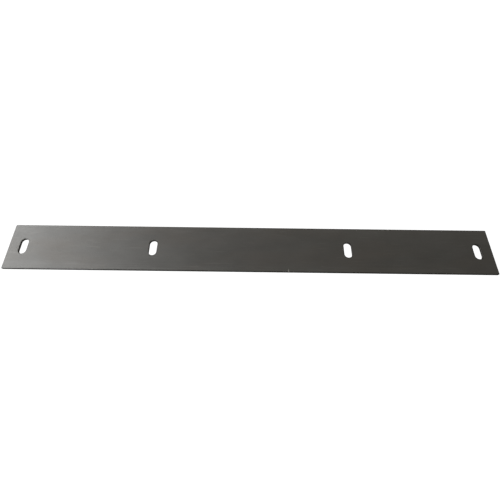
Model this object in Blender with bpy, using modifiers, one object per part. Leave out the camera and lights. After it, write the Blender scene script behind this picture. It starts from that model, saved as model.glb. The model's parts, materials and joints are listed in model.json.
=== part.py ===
"""Wear bar, the replaceable cutting edge of an ATV's snow plow blade.

It is one piece: a flat bar of hot-rolled steel, sheared to length and punched
with four slots across its width. Bolts through the slots clamp it to the foot
of the plow blade. The slots let the bar be set lower as its edge wears away,
and it can be turned end for end, because it is the same both ways round.

The bar lies flat. X runs along it, Y across it and Z through its thickness,
and the origin is the centre of the back face, which is the face that bolts
against the plow blade.
"""
import math

import bmesh
import bpy
from mathutils import Vector

INCH = 0.0254

# Bar stock
BAR_LENGTH = 50.0 * INCH
BAR_WIDTH = 5.0 * INCH
BAR_THICKNESS = 1.0 / 4.0 * INCH

# Slots, centred on the bar's width and running across it
SLOT_WIDTH = 13.0 / 16.0 * INCH
SLOT_LENGTH = 27.0 / 16.0 * INCH
END_TO_OUTER_SLOT = 1.5 * INCH
INNER_SLOT_SPACING = 20.1875 * INCH

# Rounding left by rolling, shearing and punching
CORNER_RADIUS = 0.0020
EDGE_RADIUS = 0.0008

# How finely the round parts are cut
CORNER_SEGMENTS = 5
SLOT_END_SEGMENTS = 12
EDGE_SEGMENTS = 2

PUNCH_OVERRUN = 0.010
WELD_DISTANCE = 0.000001
BEVEL_ANGLE = math.radians(60.0)

OUTER_SLOT_X = BAR_LENGTH / 2.0 - END_TO_OUTER_SLOT
INNER_SLOT_X = INNER_SLOT_SPACING / 2.0
SLOT_CENTRES_X = (-OUTER_SLOT_X, -INNER_SLOT_X, INNER_SLOT_X, OUTER_SLOT_X)

MILL_SCALE_COLOUR = (0.080, 0.077, 0.071, 1.0)
MILL_SCALE_METALLIC = 0.85
MILL_SCALE_ROUGHNESS = 0.48


def clear_scene():
    """Remove every object that the file opened with."""
    for leftover in list(bpy.data.objects):
        bpy.data.objects.remove(leftover, do_unlink=True)


def new_collection(name):
    """Make a collection in the scene."""
    collection = bpy.data.collections.new(name)
    bpy.context.scene.collection.children.link(collection)
    return collection


def is_upright(edge):
    """Tell whether an edge of a block runs along Z."""
    start, end = edge.verts
    run = end.co - start.co
    return abs(run.z) > 0.9 * run.length


def rounded_block(name, size, radius, segments, collection):
    """Make a block centred on the origin whose four upright edges are rounded.

    A radius of half the block's width gives it half-round ends.
    """
    block = bmesh.new()
    bmesh.ops.create_cube(block, size=1.0)
    bmesh.ops.scale(block, vec=size, verts=block.verts)
    bmesh.ops.bevel(
        block,
        geom=[edge for edge in block.edges if is_upright(edge)],
        offset=radius,
        offset_type="OFFSET",
        affect="EDGES",
        segments=segments,
        profile=0.5,
        material=-1,
        clamp_overlap=True,
    )
    bmesh.ops.remove_doubles(block, verts=block.verts, dist=WELD_DISTANCE)
    mesh = bpy.data.meshes.new(name)
    block.to_mesh(mesh)
    block.free()
    mesh.shade_smooth()
    piece = bpy.data.objects.new(name, mesh)
    collection.objects.link(piece)
    return piece


def make_slot_punch(number, centre_x, collection):
    """Make the cutter of one slot, longer than the bar is thick at both faces."""
    size = Vector((SLOT_WIDTH, SLOT_LENGTH, BAR_THICKNESS + 2.0 * PUNCH_OVERRUN))
    punch = rounded_block(f"slot_punch_{number}", size, SLOT_WIDTH / 2.0, SLOT_END_SEGMENTS, collection)
    punch.location = (centre_x, 0.0, BAR_THICKNESS / 2.0)
    punch.display_type = "WIRE"
    punch.hide_render = True
    return punch


def punch_slot(bar, punch):
    """Cut one slot through the bar."""
    cut = bar.modifiers.new(punch.name, "BOOLEAN")
    cut.operation = "DIFFERENCE"
    cut.solver = "EXACT"
    cut.object = punch


def round_edges(bar):
    """Take the sharpness off the bar's outline and off the rims of its slots."""
    rounding = bar.modifiers.new("edge_rounding", "BEVEL")
    rounding.limit_method = "ANGLE"
    rounding.angle_limit = BEVEL_ANGLE
    rounding.width = EDGE_RADIUS
    rounding.segments = EDGE_SEGMENTS
    rounding.profile = 0.5
    rounding.harden_normals = True


def mill_scale_steel():
    """Make the dark oxide skin that hot rolling leaves on steel."""
    material = bpy.data.materials.new("mill_scale_steel")
    material.use_nodes = True
    shader = material.node_tree.nodes["Principled BSDF"]
    shader.inputs["Base Color"].default_value = MILL_SCALE_COLOUR
    shader.inputs["Metallic"].default_value = MILL_SCALE_METALLIC
    shader.inputs["Roughness"].default_value = MILL_SCALE_ROUGHNESS
    return material


def make_wear_bar(parts, cutters):
    """Make the bar: stock cut to length, four punched slots, edges rounded."""
    size = Vector((BAR_LENGTH, BAR_WIDTH, BAR_THICKNESS))
    bar = rounded_block("wear_bar", size, CORNER_RADIUS, CORNER_SEGMENTS, parts)
    bar.location.z = BAR_THICKNESS / 2.0
    for number, centre_x in enumerate(SLOT_CENTRES_X, start=1):
        punch_slot(bar, make_slot_punch(number, centre_x, cutters))
    round_edges(bar)
    bar.data.materials.append(mill_scale_steel())
    return bar


def main():
    """Build the wear bar in an empty scene."""
    clear_scene()
    parts = new_collection("plow_wear_bar")
    cutters = new_collection("slot_punches")
    make_wear_bar(parts, cutters)
    bpy.context.view_layer.update()


main()
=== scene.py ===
"""Looks of a wear bar, the slotted steel cutting edge of an ATV's snow plow blade.

The bar is rebuilt over its frame node with finer edges: rolled long edges,
sheared ends, and slots whose rims the punch has drawn in on the front face
and torn wider at the back. The steel is hot rolled and keeps its mill scale.
"""
import json
import logging
import math
from collections.abc import Callable
from dataclasses import dataclass, field
from enum import IntEnum

import bmesh
import bpy
from bmesh.types import BMEdge, BMesh, BMFace, BMVert
from mathutils import Matrix, Vector


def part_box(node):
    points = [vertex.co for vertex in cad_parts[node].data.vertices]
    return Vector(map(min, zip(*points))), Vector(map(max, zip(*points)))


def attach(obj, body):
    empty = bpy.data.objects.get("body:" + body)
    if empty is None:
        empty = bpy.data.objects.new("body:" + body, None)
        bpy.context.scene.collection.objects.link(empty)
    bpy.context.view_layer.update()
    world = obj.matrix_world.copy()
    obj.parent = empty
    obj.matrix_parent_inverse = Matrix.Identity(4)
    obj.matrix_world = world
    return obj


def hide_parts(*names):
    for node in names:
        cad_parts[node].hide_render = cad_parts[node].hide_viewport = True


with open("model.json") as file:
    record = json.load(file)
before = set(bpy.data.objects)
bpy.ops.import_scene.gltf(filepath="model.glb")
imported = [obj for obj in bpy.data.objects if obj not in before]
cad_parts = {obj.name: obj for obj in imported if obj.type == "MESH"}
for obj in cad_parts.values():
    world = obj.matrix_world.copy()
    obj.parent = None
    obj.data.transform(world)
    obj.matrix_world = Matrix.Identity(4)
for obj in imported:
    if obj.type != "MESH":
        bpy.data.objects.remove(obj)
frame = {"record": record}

LOG = logging.getLogger("wear_bar")
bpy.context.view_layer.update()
MM = 0.001
# Vertices this close are one, and places this close are the same place.
WELD = 0.001 * MM
NEAR = 0.01 * MM
# Parts of a unit normal along an axis, by which a face counts as turned that way.
TURNED = 0.5
DEAD_FLAT = 0.999
# Radians between two faces, past which the edge between them is a fold.
FOLD = 0.5


def linear(colour: str) -> tuple[float, float, float, float]:
    """Turn an sRGB hex colour into the linear one that a shader takes.

    Args:
        colour: Six hex digits after a hash.

    Returns:
        Linear red, green and blue, and an alpha of 1.
    """
    channels = []
    for start in (1, 3, 5):
        value = int(colour[start:start + 2], 16) / 255.0
        channels.append(value / 12.92 if value <= 0.04045 else ((value + 0.055) / 1.055) ** 2.4)
    return channels[0], channels[1], channels[2], 1.0


def add_node(tree: bpy.types.NodeTree, kind: str, inputs: dict | None = None, output: str = "",
             **settings) -> bpy.types.NodeSocket | None:
    """Add a node with its settings, values and links.

    Args:
        tree: The node tree that the node goes in.
        kind: Blender's name for the node's type.
        inputs: Input name or number to its value, or to the output that feeds it.
        output: Name of the output to return, or nothing for the first one in use.
        settings: Properties of the node itself.

    Returns:
        One output of the node, or None where it has none.
    """
    node = tree.nodes.new(kind)
    for name, value in settings.items():
        setattr(node, name, value)
    for key, value in (inputs or {}).items():
        if isinstance(value, bpy.types.NodeSocket):
            tree.links.new(value, node.inputs[key])
        else:
            node.inputs[key].default_value = value
    if output:
        return node.outputs[output]
    return next((socket for socket in node.outputs if socket.enabled), None)


def new_material(name: str) -> tuple[bpy.types.Material, bpy.types.NodeTree, bpy.types.Node]:
    """Make a material.

    Args:
        name: What the material really is.

    Returns:
        The material, its node tree and its shader.
    """
    material = bpy.data.materials.new(name)
    material.use_nodes = True
    return material, material.node_tree, material.node_tree.nodes["Principled BSDF"]


class Skin(IntEnum):
    """How a face of the bar was made, which is also its material slot."""

    ROLLED = 0
    SHEARED = 1
    PUNCHED = 2
    BRUISED = 3


@dataclass(frozen=True)
class BarPlan:
    """The outline of the bar and of its slots, in metres."""

    length: float
    width: float
    thickness: float
    slot_centres: tuple[float, ...]
    slot_width: float
    slot_length: float


@dataclass(frozen=True)
class Pattern:
    """A soft pattern, with its own grain size along X, Y and Z.

    Detail is the octaves of finer pattern on top. Noise at low gives 0 and
    noise at high gives 1.
    """

    grain_mm: tuple[float, float, float]
    detail: float
    low: float = 0.3
    high: float = 0.7


@dataclass(frozen=True)
class MillScale:
    """Hot-rolled carbon steel with its mill scale left on.

    The scale is a thin grey-brown iron oxide, pressed flat by the rolls. To
    the eye it is dark and satin, cloudy over a few centimetres, browner in
    patches, streaked along the rolling direction beside both long edges, and
    it has a fine dry grain and a few pale scuffs. Shade is painted into its
    colour, darker round every rim and on the long sides of the bar.
    """

    name: str = "hot_rolled_mill_scale"
    dark: str = "#757471"
    pale: str = "#848380"
    brown: str = "#7d7267"
    scuffed: str = "#a09e99"
    brown_share: float = 0.22
    metallic: float = 1.0
    roughness_low: float = 0.58
    roughness_high: float = 0.66
    cloud: Pattern = Pattern((95.0, 42.0, 42.0), 5.0)
    cloud_share: float = 0.5
    patch: Pattern = Pattern((210.0, 60.0, 60.0), 3.0, 0.45, 0.75)
    streak: Pattern = Pattern((150.0, 2.6, 2.6), 2.0)
    scuff: Pattern = Pattern((16.0, 2.0, 2.0), 2.0, 0.68, 0.78)
    smear: Pattern = Pattern((55.0, 5.0, 5.0), 1.0, 0.64, 0.78)
    smear_share: float = 0.14
    # Real scale is grained at 0.1 or 0.2 mm, and this is as coarse as it needs to be to show.
    grain: Pattern = Pattern((1.1, 1.1, 1.1), 3.0)
    grain_relief_mm: float = 0.02
    noise_roughness: float = 0.6
    edge_band_mm: tuple[float, float] = (30.0, 62.0)
    streak_share: tuple[float, float] = (0.08, 0.5)
    # Painted shade: the colour darkens in a band round the outline and round each slot.
    rim_shade_band_mm: float = 3.5
    rim_painted_shade: float = 0.78
    slot_shade_band_mm: float = 3.0
    slot_painted_shade: float = 0.62
    # Painted shade: the long sides' colour is darkened, blending into the flat faces near their edges.
    side_painted_shade: float = 0.5
    side_shade_blend_mm: float = 0.8

    def noise(self, tree: bpy.types.NodeTree, place: bpy.types.NodeSocket,
              pattern: Pattern) -> bpy.types.NodeSocket:
        """Make a soft pattern.

        Args:
            tree: The material's node tree.
            place: Object coordinates in metres.
            pattern: The pattern's sizes and limits.

        Returns:
            The pattern, from 0 to 1.
        """
        scaled = add_node(tree, "ShaderNodeMapping", {
            "Vector": place,
            "Scale": tuple(1.0 / (size * MM) for size in pattern.grain_mm),
        })
        raw = add_node(tree, "ShaderNodeTexNoise", {
            "Vector": scaled,
            "Scale": 1.0,
            "Detail": pattern.detail,
            "Roughness": self.noise_roughness,
        }, "Fac")
        return add_node(tree, "ShaderNodeMapRange", {
            "Value": raw,
            "From Min": pattern.low,
            "From Max": pattern.high,
        })

    def rim_painted_shading(self, tree: bpy.types.NodeTree, along: bpy.types.NodeSocket,
                    across: bpy.types.NodeSocket, plan: BarPlan) -> bpy.types.NodeSocket:
        """Work out the painted shade, darker beside each rim of the outline and of the slots.

        Args:
            tree: The material's node tree.
            along: Distance from the bar's centre along its length.
            across: Distance from the bar's centre across its width.
            plan: The outlines whose rims get the painted shade.

        Returns:
            A factor for the colour, lowest at a rim and 1 beyond the band.
        """
        end = plan.length / 2.0
        side = plan.width / 2.0
        from_end = add_node(tree, "ShaderNodeMath", {0: end, 1: along}, operation="SUBTRACT")
        from_side = add_node(tree, "ShaderNodeMath", {0: side, 1: across}, operation="SUBTRACT")
        from_outline = add_node(tree, "ShaderNodeMath", {
            0: from_end,
            1: from_side,
        }, operation="MINIMUM")
        shading = add_node(tree, "ShaderNodeMapRange", {
            "Value": from_outline,
            "From Max": self.rim_shade_band_mm * MM,
            "To Min": self.rim_painted_shade,
        }, interpolation_type="SMOOTHSTEP")
        radius = plan.slot_width / 2.0
        straight = plan.slot_length / 2.0 - radius
        beyond = add_node(tree, "ShaderNodeMath", {0: across, 1: straight}, operation="SUBTRACT")
        beyond = add_node(tree, "ShaderNodeMath", {0: beyond, 1: 0.0}, operation="MAXIMUM")
        for centre in plan.slot_centres:
            aside = add_node(tree, "ShaderNodeMath", {0: along, 1: centre}, operation="SUBTRACT")
            offset = add_node(tree, "ShaderNodeCombineXYZ", {"X": aside, "Y": beyond})
            reach = add_node(tree, "ShaderNodeVectorMath", {0: offset}, "Value", operation="LENGTH")
            slot_rim_painted_shade = add_node(tree, "ShaderNodeMapRange", {
                "Value": reach,
                "From Min": radius,
                "From Max": radius + self.slot_shade_band_mm * MM,
                "To Min": self.slot_painted_shade,
            }, interpolation_type="SMOOTHSTEP")
            shading = add_node(tree, "ShaderNodeMath", {0: shading, 1: slot_rim_painted_shade}, operation="MULTIPLY")
        return shading

    def side_painted_shading(self, tree: bpy.types.NodeTree, height: bpy.types.NodeSocket,
                     thickness: float) -> bpy.types.NodeSocket:
        """Paint shade on the long sides of the bar, darkening their colour.

        Args:
            tree: The material's node tree.
            height: Distance above the back face.
            thickness: The front face's height above the back face.

        Returns:
            A factor for the colour, lowest on the sides and 1 on both flat faces.
        """
        half = thickness / 2.0
        centred = add_node(tree, "ShaderNodeMath", {0: height, 1: half}, operation="SUBTRACT")
        off_middle = add_node(tree, "ShaderNodeMath", {0: centred}, operation="ABSOLUTE")
        return add_node(tree, "ShaderNodeMapRange", {
            "Value": off_middle,
            "From Min": half - self.side_shade_blend_mm * MM,
            "From Max": half,
            "To Min": self.side_painted_shade,
        })

    def material(self, plan: BarPlan) -> bpy.types.Material:
        """Build the oxide skin's material.

        Args:
            plan: The outlines whose rims get the painted shade.

        Returns:
            The material.
        """
        material, tree, shader = new_material(self.name)
        place = add_node(tree, "ShaderNodeTexCoord", output="Object")
        folded = add_node(tree, "ShaderNodeVectorMath", {0: place}, operation="ABSOLUTE")
        axes = add_node(tree, "ShaderNodeSeparateXYZ", {"Vector": folded}).node.outputs
        beside_edge = add_node(tree, "ShaderNodeMapRange", {
            "Value": axes["Y"],
            "From Min": self.edge_band_mm[0] * MM,
            "From Max": self.edge_band_mm[1] * MM,
        }, interpolation_type="SMOOTHSTEP")
        cloud = self.noise(tree, place, self.cloud)
        patch = self.noise(tree, place, self.patch)
        streak = self.noise(tree, place, self.streak)
        scuff = self.noise(tree, place, self.scuff)
        smear = self.noise(tree, place, self.smear)
        grain = self.noise(tree, place, self.grain)
        streak_share = add_node(tree, "ShaderNodeMapRange", {
            "Value": beside_edge,
            "To Min": self.streak_share[0],
            "To Max": self.streak_share[1],
        })
        streaking = add_node(tree, "ShaderNodeMath", {
            0: streak,
            1: streak_share,
        }, operation="MULTIPLY")
        shade = add_node(tree, "ShaderNodeMath", {
            0: cloud,
            1: self.cloud_share,
            2: streaking,
        }, operation="MULTIPLY_ADD")
        colour = add_node(tree, "ShaderNodeMix", {
            0: shade,
            6: linear(self.dark),
            7: linear(self.pale),
        }, data_type="RGBA")
        browning = add_node(tree, "ShaderNodeMath", {
            0: patch,
            1: self.brown_share,
        }, operation="MULTIPLY")
        colour = add_node(tree, "ShaderNodeMix", {
            0: browning,
            6: colour,
            7: linear(self.brown),
        }, data_type="RGBA")
        scuffing = add_node(tree, "ShaderNodeMath", {0: scuff, 1: beside_edge}, operation="MULTIPLY")
        scuffing = add_node(tree, "ShaderNodeMath", {
            0: smear,
            1: self.smear_share,
            2: scuffing,
        }, operation="MULTIPLY_ADD", use_clamp=True)
        colour = add_node(tree, "ShaderNodeMix", {
            0: scuffing,
            6: colour,
            7: linear(self.scuffed),
        }, data_type="RGBA")
        # Painted shade, darker at the rims and on the long sides, scales the colour.
        painted_dimming = add_node(tree, "ShaderNodeMath", {
            0: self.rim_painted_shading(tree, axes["X"], axes["Y"], plan),
            1: self.side_painted_shading(tree, axes["Z"], plan.thickness),
        }, operation="MULTIPLY")
        colour = add_node(tree, "ShaderNodeVectorMath", {
            0: colour,
            "Scale": painted_dimming,
        }, operation="SCALE")
        tree.links.new(colour, shader.inputs["Base Color"])
        shader.inputs["Metallic"].default_value = self.metallic
        gloss = add_node(tree, "ShaderNodeMapRange", {
            "Value": grain,
            "To Min": self.roughness_low,
            "To Max": self.roughness_high,
        })
        tree.links.new(gloss, shader.inputs["Roughness"])
        relief = add_node(tree, "ShaderNodeBump", {
            "Height": grain,
            "Strength": 1.0,
            "Distance": self.grain_relief_mm * MM,
        })
        tree.links.new(relief, shader.inputs["Normal"])
        return material


@dataclass(frozen=True)
class CutSteel:
    """Steel where a blade or punch has cut through it, since gone dull.

    To the eye the side that the tool went in at is dark and smoothly wiped,
    and the side that broke away is paler and rougher; its paleness is partly
    its own grey and partly painted light from the table below. Fine lines run
    through the thickness, the way that the tool travelled.
    """

    name: str
    wiped: str = "#a5a29d"
    # Paler partly as the broken steel's own grey and partly as painted light from the table below.
    broken_and_lit: str = "#c4c1bb"
    line_shade: float = 0.7
    metallic: float = 0.95
    roughness: float = 0.42
    break_mm: tuple[float, float] = (4.2, 3.0)
    ragged_mm: float = 1.5
    # Real tool lines are finer than 0.3 mm, and these are as coarse as they need to be to show.
    line_mm: float = 0.7
    line_length_mm: float = 9.0
    line_detail: float = 2.0
    relief_mm: float = 0.02

    def material(self) -> bpy.types.Material:
        """Build the cut face's material."""
        material, tree, shader = new_material(self.name)
        place = add_node(tree, "ShaderNodeTexCoord", output="Object")
        across = 1.0 / (self.line_mm * MM)
        stretched = add_node(tree, "ShaderNodeMapping", {
            "Vector": place,
            "Scale": (across, across, 1.0 / (self.line_length_mm * MM)),
        })
        lines = add_node(tree, "ShaderNodeTexNoise", {
            "Vector": stretched,
            "Scale": 1.0,
            "Detail": self.line_detail,
        }, "Fac")
        height = add_node(tree, "ShaderNodeSeparateXYZ", {"Vector": place}, "Z")
        ragged = add_node(tree, "ShaderNodeMath", {
            0: lines,
            1: self.ragged_mm * MM,
            2: height,
        }, operation="MULTIPLY_ADD")
        # Mask of the broken side, low on each cut face, which also carries the painted light.
        torn = add_node(tree, "ShaderNodeMapRange", {
            "Value": ragged,
            "From Min": self.break_mm[0] * MM,
            "From Max": self.break_mm[1] * MM,
        })
        grey = add_node(tree, "ShaderNodeMix", {
            0: torn,
            6: linear(self.wiped),
            7: linear(self.broken_and_lit),
        }, data_type="RGBA")
        shade = add_node(tree, "ShaderNodeMapRange", {"Value": lines, "To Min": self.line_shade})
        lined = add_node(tree, "ShaderNodeVectorMath", {
            0: grey,
            "Scale": shade,
        }, operation="SCALE")
        tree.links.new(lined, shader.inputs["Base Color"])
        shader.inputs["Metallic"].default_value = self.metallic
        shader.inputs["Roughness"].default_value = self.roughness
        relief = add_node(tree, "ShaderNodeBump", {
            "Height": lines,
            "Strength": 1.0,
            "Distance": self.relief_mm * MM,
        })
        tree.links.new(relief, shader.inputs["Normal"])
        return material


@dataclass(frozen=True)
class BareSteel:
    """Steel where a knock has chipped its mill scale away.

    To the eye it is a small pale glint in the dark skin.
    """

    name: str = "chipped_bare_steel"
    colour: str = "#d2d0cb"
    metallic: float = 1.0
    roughness: float = 0.45

    def material(self) -> bpy.types.Material:
        """Build the bare metal's material."""
        material, _, shader = new_material(self.name)
        shader.inputs["Base Color"].default_value = linear(self.colour)
        shader.inputs["Metallic"].default_value = self.metallic
        shader.inputs["Roughness"].default_value = self.roughness
        return material


@dataclass(frozen=True)
class Nick:
    """A small groove knocked into a long edge when bars are handled together."""

    x_mm: float
    side: int
    width_mm: float
    length_mm: float
    depth_mm: float


@dataclass
class WearBar:
    """The slotted bar, sized from its frame node and the record's slots.

    The slots are 13/16 by 1 11/16 inches. The punch draws the front face in
    round each rim and tears the back, which starts tear_depth of the way up.
    """

    slot_width_mm: float = 20.6375
    slot_length_mm: float = 42.8625
    corner_radius_mm: float = 2.0
    outline_radius_mm: float = 0.9
    rim_draw_in_mm: float = 0.5
    rim_back_mm: float = 0.3
    drawn_in: float = 0.2
    tear_depth: float = 0.55
    tear_flare_mm: float = 0.05
    slot_end_segments: int = 16
    corner_segments: int = 5
    rounding_segments: int = 4
    nicks: tuple[Nick, ...] = (
        Nick(98.0, -1, 4.0, 9.0, 0.6),
        Nick(-403.0, -1, 2.0, 3.0, 0.3),
        Nick(371.0, 1, 2.4, 4.0, 0.3),
    )

    def __post_init__(self) -> None:
        """Read the bar's size and the places of its slots from the frame."""
        low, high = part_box("wear_bar")
        self.length, self.width, self.thickness = high - low
        boxes = [slot["box_m"] for slot in frame["record"]["physics"]["openings"]]
        self.slot_centres = sorted((start[0] + end[0]) / 2.0 for start, end in boxes)

    def split_at(self, bar: BMesh, place: Vector, normal: Vector) -> None:
        """Cut edges and faces along a plane without parting them.

        Args:
            bar: The mesh to cut.
            place: A point on the plane.
            normal: The plane's normal.
        """
        whole = bar.verts[:] + bar.edges[:] + bar.faces[:]
        bmesh.ops.bisect_plane(bar, geom=whole, dist=WELD, plane_co=place, plane_no=normal)

    def quarter_plan(self) -> BMesh:
        """Draw a flat quarter of the bar, with a bay for half of each of its slots.

        Returns:
            One face that reaches from the bar's centre to its far right corner.
        """
        plan = bmesh.new()
        bmesh.ops.create_grid(plan, x_segments=1, y_segments=1, size=0.5)
        bmesh.ops.scale(plan, vec=(self.length / 2.0, self.width / 2.0, 1.0), verts=plan.verts)
        bmesh.ops.translate(plan, vec=(self.length / 4.0, self.width / 4.0, 0.0), verts=plan.verts)
        half_slot = self.slot_width_mm * MM / 2.0
        slot_top = self.slot_length_mm * MM / 2.0
        centres = [x for x in self.slot_centres if x > 0.0]
        for centre in centres:
            for side in (-half_slot, half_slot):
                self.split_at(plan, Vector((centre + side, 0.0, 0.0)), Vector((1.0, 0.0, 0.0)))
        self.split_at(plan, Vector((0.0, slot_top, 0.0)), Vector((0.0, 1.0, 0.0)))

        def in_bay(face: BMFace) -> bool:
            """Tell whether a face lies inside a slot."""
            middle = face.calc_center_median()
            return middle.y < slot_top and any(abs(middle.x - x) < half_slot for x in centres)

        bmesh.ops.delete(plan, geom=[face for face in plan.faces if in_bay(face)], context="FACES")
        bmesh.ops.dissolve_faces(plan, faces=plan.faces[:], use_verts=False)

        def at(x: float, y: float) -> list[BMVert]:
            """Find the vertex at a point of the plan."""
            return [v for v in plan.verts if (v.co - Vector((x, y, 0.0))).length < NEAR]

        outer = at(self.length / 2.0, self.width / 2.0)
        self.round_corners(plan, outer, self.corner_radius_mm * MM, self.corner_segments)
        for centre in centres:
            bay = at(centre - half_slot, slot_top) + at(centre + half_slot, slot_top)
            self.round_corners(plan, bay, half_slot, self.slot_end_segments)
        bmesh.ops.remove_doubles(plan, verts=plan.verts, dist=WELD)
        return plan

    def round_corners(self, plan: BMesh, corners: list[BMVert], radius: float, segments: int) -> None:
        """Round corners of a flat outline.

        Args:
            plan: The outline's mesh.
            corners: The corner vertices.
            radius: The arcs' radius in metres.
            segments: The number of straight pieces in each arc.
        """
        bmesh.ops.bevel(
            plan, geom=corners, affect="VERTICES", offset=radius, offset_type="OFFSET",
            segments=segments, profile=0.5, material=-1, clamp_overlap=True,
        )

    def block(self) -> BMesh:
        """Mirror the quarter both ways and raise it to the bar's thickness."""
        bar = self.quarter_plan()
        for axis in ("X", "Y"):
            everything = bar.verts[:] + bar.edges[:] + bar.faces[:]
            bmesh.ops.mirror(
                bar, geom=everything, matrix=Matrix.Identity(4), merge_dist=WELD, axis=axis,
            )
        raised = bmesh.ops.extrude_face_region(bar, geom=bar.faces[:])["geom"]
        front = [part for part in raised if isinstance(part, BMVert)]
        bmesh.ops.translate(bar, vec=(0.0, 0.0, self.thickness), verts=front)
        bmesh.ops.recalc_face_normals(bar, faces=bar.faces[:])
        return bar

    def in_slot(self, point: Vector) -> bool:
        """Tell whether a point lies in a slot or on its wall."""
        reach = self.slot_width_mm * MM / 2.0 + MM
        beside = any(abs(point.x - x) < reach for x in self.slot_centres)
        return beside and abs(point.y) < self.width / 4.0

    def paint_skins(self, bar: BMesh) -> None:
        """Give each face the skin that its making left on it."""
        for face in bar.faces:
            if face.normal.z > self.drawn_in or face.normal.z < -TURNED:
                face.material_index = Skin.ROLLED
            elif self.in_slot(face.calc_center_median()):
                face.material_index = Skin.PUNCHED
            elif abs(face.normal.x) > TURNED:
                face.material_index = Skin.SHEARED

    def rim(self, bar: BMesh, height: float, chosen: Callable[[Vector], bool]) -> list[BMEdge]:
        """Find the edges where a flat face of the bar meets its sides.

        Args:
            bar: The bar's mesh.
            height: The flat face's height.
            chosen: A test that an edge's middle has to pass.

        Returns:
            The edges of the rim.
        """
        found = []
        for edge in bar.edges:
            middle = (edge.verts[0].co + edge.verts[1].co) / 2.0
            level = all(abs(v.co.z - height) < NEAR for v in edge.verts)
            folded = len(edge.link_faces) == 2 and edge.calc_face_angle(0.0) > FOLD
            if level and folded and chosen(middle):
                found.append(edge)
        return found

    def round_rim(self, bar: BMesh, height: float, slots: bool, radius: float) -> None:
        """Round the rim of the slots, or of the outline, at one face of the bar."""
        edges = self.rim(bar, height, lambda middle: self.in_slot(middle) == slots)
        bmesh.ops.bevel(
            bar, geom=edges, affect="EDGES", offset=radius, offset_type="OFFSET",
            segments=self.rounding_segments, profile=0.5, material=-1, clamp_overlap=True,
            loop_slide=True,
        )

    def tear_slots(self, bar: BMesh) -> None:
        """Flare each slot towards the back, where the slug broke away."""
        start = self.thickness * (1.0 - self.tear_depth)
        self.split_at(bar, Vector((0.0, 0.0, start)), Vector((0.0, 0.0, 1.0)))
        flare = self.tear_flare_mm * MM
        wide = 1.0 + flare / (self.slot_width_mm * MM / 2.0)
        long = 1.0 + flare / (self.slot_length_mm * MM / 2.0)
        for centre in self.slot_centres:
            about = Matrix.Translation((-centre, 0.0, 0.0))
            rims = [v for v in bar.verts if abs(v.co.z) < NEAR and self.in_slot(v.co)]
            lip = [v for v in rims if abs(v.co.x - centre) < self.slot_width_mm * MM]
            bmesh.ops.scale(bar, vec=(wide, long, 1.0), verts=lip, space=about)

    def knock(self, bar: BMesh, nick: Nick) -> None:
        """Groove the front face across one long edge and bare the steel there.

        The groove is widest and deepest at the edge and runs out to a point.

        Args:
            bar: The bar's mesh.
            nick: The groove's place and size.
        """
        half = nick.width_mm * MM / 2.0
        middle = nick.x_mm * MM
        edge = nick.side * self.width / 2.0
        length = nick.length_mm * MM
        for x in (middle - half, middle, middle + half):
            self.split_at(bar, Vector((x, 0.0, 0.0)), Vector((1.0, 0.0, 0.0)))
        self.split_at(bar, Vector((0.0, edge - nick.side * length, 0.0)), Vector((0.0, 1.0, 0.0)))

        def in_groove(point: Vector, reach: float) -> bool:
            """Tell whether a point lies in the groove, or within reach of its middle line."""
            inwards = (edge - point.y) * nick.side
            in_front_half = point.z > self.thickness / 2.0
            return in_front_half and abs(point.x - middle) < reach and inwards < length - NEAR

        tip = Vector((middle, edge - nick.side * length, 0.0))
        for side in (-1.0, 1.0):
            tile = [face for face in bar.faces if in_groove(face.calc_center_median(), half)]
            pieces = {part for face in tile for part in (*face.verts, *face.edges, face)}
            run = Vector((side * half, nick.side * length, 0.0))
            slant = run.cross(Vector((0.0, 0.0, 1.0))).normalized()
            bmesh.ops.bisect_plane(bar, geom=list(pieces), dist=WELD, plane_co=tip, plane_no=slant)
        bottom = [vertex for vertex in bar.verts if in_groove(vertex.co, NEAR)]
        for vertex in bottom:
            vertex.co.z -= nick.depth_mm * MM * (1.0 - (edge - vertex.co.y) * nick.side / length)
        for face in {face for vertex in bottom for face in vertex.link_faces}:
            if face.calc_center_median().z > self.thickness - 2.0 * nick.depth_mm * MM:
                face.material_index = Skin.BRUISED

    def materials(self) -> list[bpy.types.Material]:
        """Make the finishes in the order of the skins that they dress."""
        plan = BarPlan(
            self.length,
            self.width,
            self.thickness,
            tuple(x for x in self.slot_centres if x > 0.0),
            self.slot_width_mm * MM,
            self.slot_length_mm * MM,
        )
        return [
            MillScale().material(plan),
            CutSteel("sheared_end", wiped="#6f6d69", broken_and_lit="#8f8d88", metallic=0.9).material(),
            CutSteel("punched_wall").material(),
            BareSteel().material(),
        ]

    def build(self) -> bpy.types.Object:
        """Model the bar, dress it and put it in place of its frame node.

        Returns:
            The finished bar.
        """
        bar = self.block()
        self.tear_slots(bar)
        for height, draw_in_mm in ((self.thickness, self.rim_draw_in_mm), (0.0, self.rim_back_mm)):
            self.round_rim(bar, height, True, draw_in_mm * MM)
            self.round_rim(bar, height, False, self.outline_radius_mm * MM)
        self.paint_skins(bar)
        for nick in self.nicks:
            self.knock(bar, nick)
        for face in bar.faces:
            face.smooth = abs(face.normal.z) < DEAD_FLAT
        mesh = bpy.data.meshes.new("slotted_bar")
        bar.to_mesh(mesh)
        bar.free()
        for material in self.materials():
            mesh.materials.append(material)
        piece = bpy.data.objects.new("slotted_bar", mesh)
        bpy.context.scene.collection.objects.link(piece)
        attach(piece, "root")
        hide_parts("wear_bar")
        LOG.info("slotted_bar: %d faces", len(mesh.polygons))
        return piece


@dataclass(frozen=True)
class Softbox:
    """A flat lamp, with places and sizes in metres, power in watts and its light's colour."""

    name: str
    place: tuple[float, float, float]
    aim: tuple[float, float, float]
    width: float
    height: float
    watts: float
    colour: str


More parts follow.
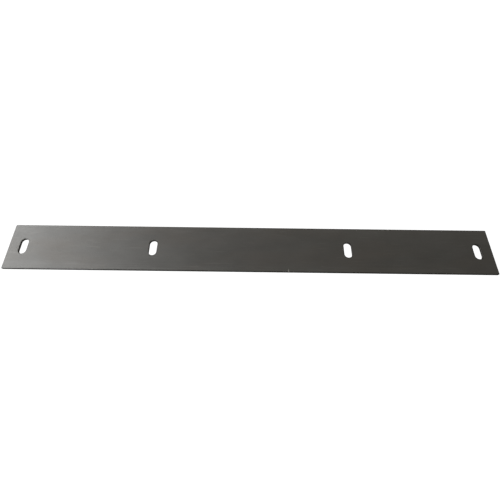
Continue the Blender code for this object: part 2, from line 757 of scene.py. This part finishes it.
@dataclass
class Studio:
    """Seamless white light table, soft lamps and the camera.

    The table and the air are white to look at and dim as lights, so that the
    lamps shape the steel. The camera is turned from looking straight down.
    """

    lens_mm: float = 23.5
    sensor_mm: float = 36.0
    camera_place: Vector = field(default_factory=lambda: Vector((0.0003, -0.3702, 0.7798)))
    camera_tilt: float = math.radians(25.373)
    camera_yaw: float = math.radians(0.203)
    camera_roll: float = math.radians(0.535)
    floor_side: float = 30.0
    floor_gap: float = 0.3 * MM
    white: float = 1.1
    cloth: str = "#8e8e8e"
    air: tuple[float, float, float] = (0.169, 0.165, 0.154)
    lamps: tuple[Softbox, ...] = (
        Softbox("window_softbox", (-1.64, 0.2, 0.5), (-0.4, 0.0, 0.3), 2.2, 1.1, 44.0, "#f9fbff"),
        Softbox("back_card", (0.3, 1.4, 0.9), (0.1, 0.0, 0.0), 3.6, 0.8, 5.2, "#fff8f0"),
    )

    def camera(self) -> bpy.types.Object:
        """Set up the camera in front of the bar, looking down at it."""
        data = bpy.data.cameras.new("product_camera")
        data.sensor_fit = "HORIZONTAL"
        data.sensor_width = self.sensor_mm
        data.lens = self.lens_mm
        camera = bpy.data.objects.new("product_camera", data)
        bpy.context.scene.collection.objects.link(camera)
        turn = Matrix.Rotation(self.camera_yaw, 4, "Z") @ Matrix.Rotation(self.camera_tilt, 4, "X")
        turn = turn @ Matrix.Rotation(self.camera_roll, 4, "Z")
        camera.matrix_world = Matrix.Translation(self.camera_place) @ turn
        bpy.context.scene.camera = camera
        return camera

    def floor(self) -> bpy.types.Object:
        """Lay the lit table under the bar."""
        sheet = bmesh.new()
        bmesh.ops.create_grid(sheet, x_segments=1, y_segments=1, size=self.floor_side / 2.0)
        bmesh.ops.translate(sheet, vec=(0.0, 0.0, -self.floor_gap), verts=sheet.verts)
        mesh = bpy.data.meshes.new("light_table")
        sheet.to_mesh(mesh)
        sheet.free()
        floor = bpy.data.objects.new("light_table", mesh)
        bpy.context.scene.collection.objects.link(floor)
        material, tree, _ = new_material("lit_acrylic")
        tree.nodes.clear()
        seen = add_node(tree, "ShaderNodeLightPath", output="Is Camera Ray")
        cloth = add_node(tree, "ShaderNodeBsdfDiffuse", {"Color": linear(self.cloth)})
        glow = add_node(tree, "ShaderNodeEmission", {"Strength": self.white})
        mixed = add_node(tree, "ShaderNodeMixShader", {0: seen, 1: cloth, 2: glow})
        add_node(tree, "ShaderNodeOutputMaterial", {"Surface": mixed})
        mesh.materials.append(material)
        return floor

    def world(self) -> None:
        """Make the surroundings white to look at and dim as a light."""
        world = bpy.data.worlds.new("studio_air")
        bpy.context.scene.world = world
        world.use_nodes = True
        tree = world.node_tree
        tree.nodes.clear()
        seen = add_node(tree, "ShaderNodeLightPath", output="Is Camera Ray")
        dim = add_node(tree, "ShaderNodeBackground", {"Color": (*self.air, 1.0)})
        white = add_node(tree, "ShaderNodeBackground", {
            "Color": (1.0, 1.0, 1.0, 1.0),
            "Strength": self.white,
        })
        mixed = add_node(tree, "ShaderNodeMixShader", {0: seen, 1: dim, 2: white})
        add_node(tree, "ShaderNodeOutputWorld", {"Surface": mixed})

    def lamp(self, softbox: Softbox) -> bpy.types.Object:
        """Hang one softbox.

        Args:
            softbox: Its place, size and light.

        Returns:
            The lamp.
        """
        data = bpy.data.lights.new(softbox.name, "AREA")
        data.shape = "RECTANGLE"
        data.size = softbox.width
        data.size_y = softbox.height
        data.energy = softbox.watts
        data.color = linear(softbox.colour)[:3]
        lamp = bpy.data.objects.new(softbox.name, data)
        bpy.context.scene.collection.objects.link(lamp)
        place = Vector(softbox.place)
        lamp.location = place
        lamp.rotation_mode = "QUATERNION"
        lamp.rotation_quaternion = (Vector(softbox.aim) - place).to_track_quat("-Z", "Y")
        return lamp

    def build(self) -> None:
        """Set up the whole studio."""
        bpy.context.scene.view_settings.view_transform = "Standard"
        self.world()
        self.floor()
        for softbox in self.lamps:
            self.lamp(softbox)
        self.camera()


def main() -> None:
    """Build the bar and its studio."""
    logging.basicConfig(level=logging.INFO)
    Studio().build()
    WearBar().build()


if __name__ == "__main__":
    main()
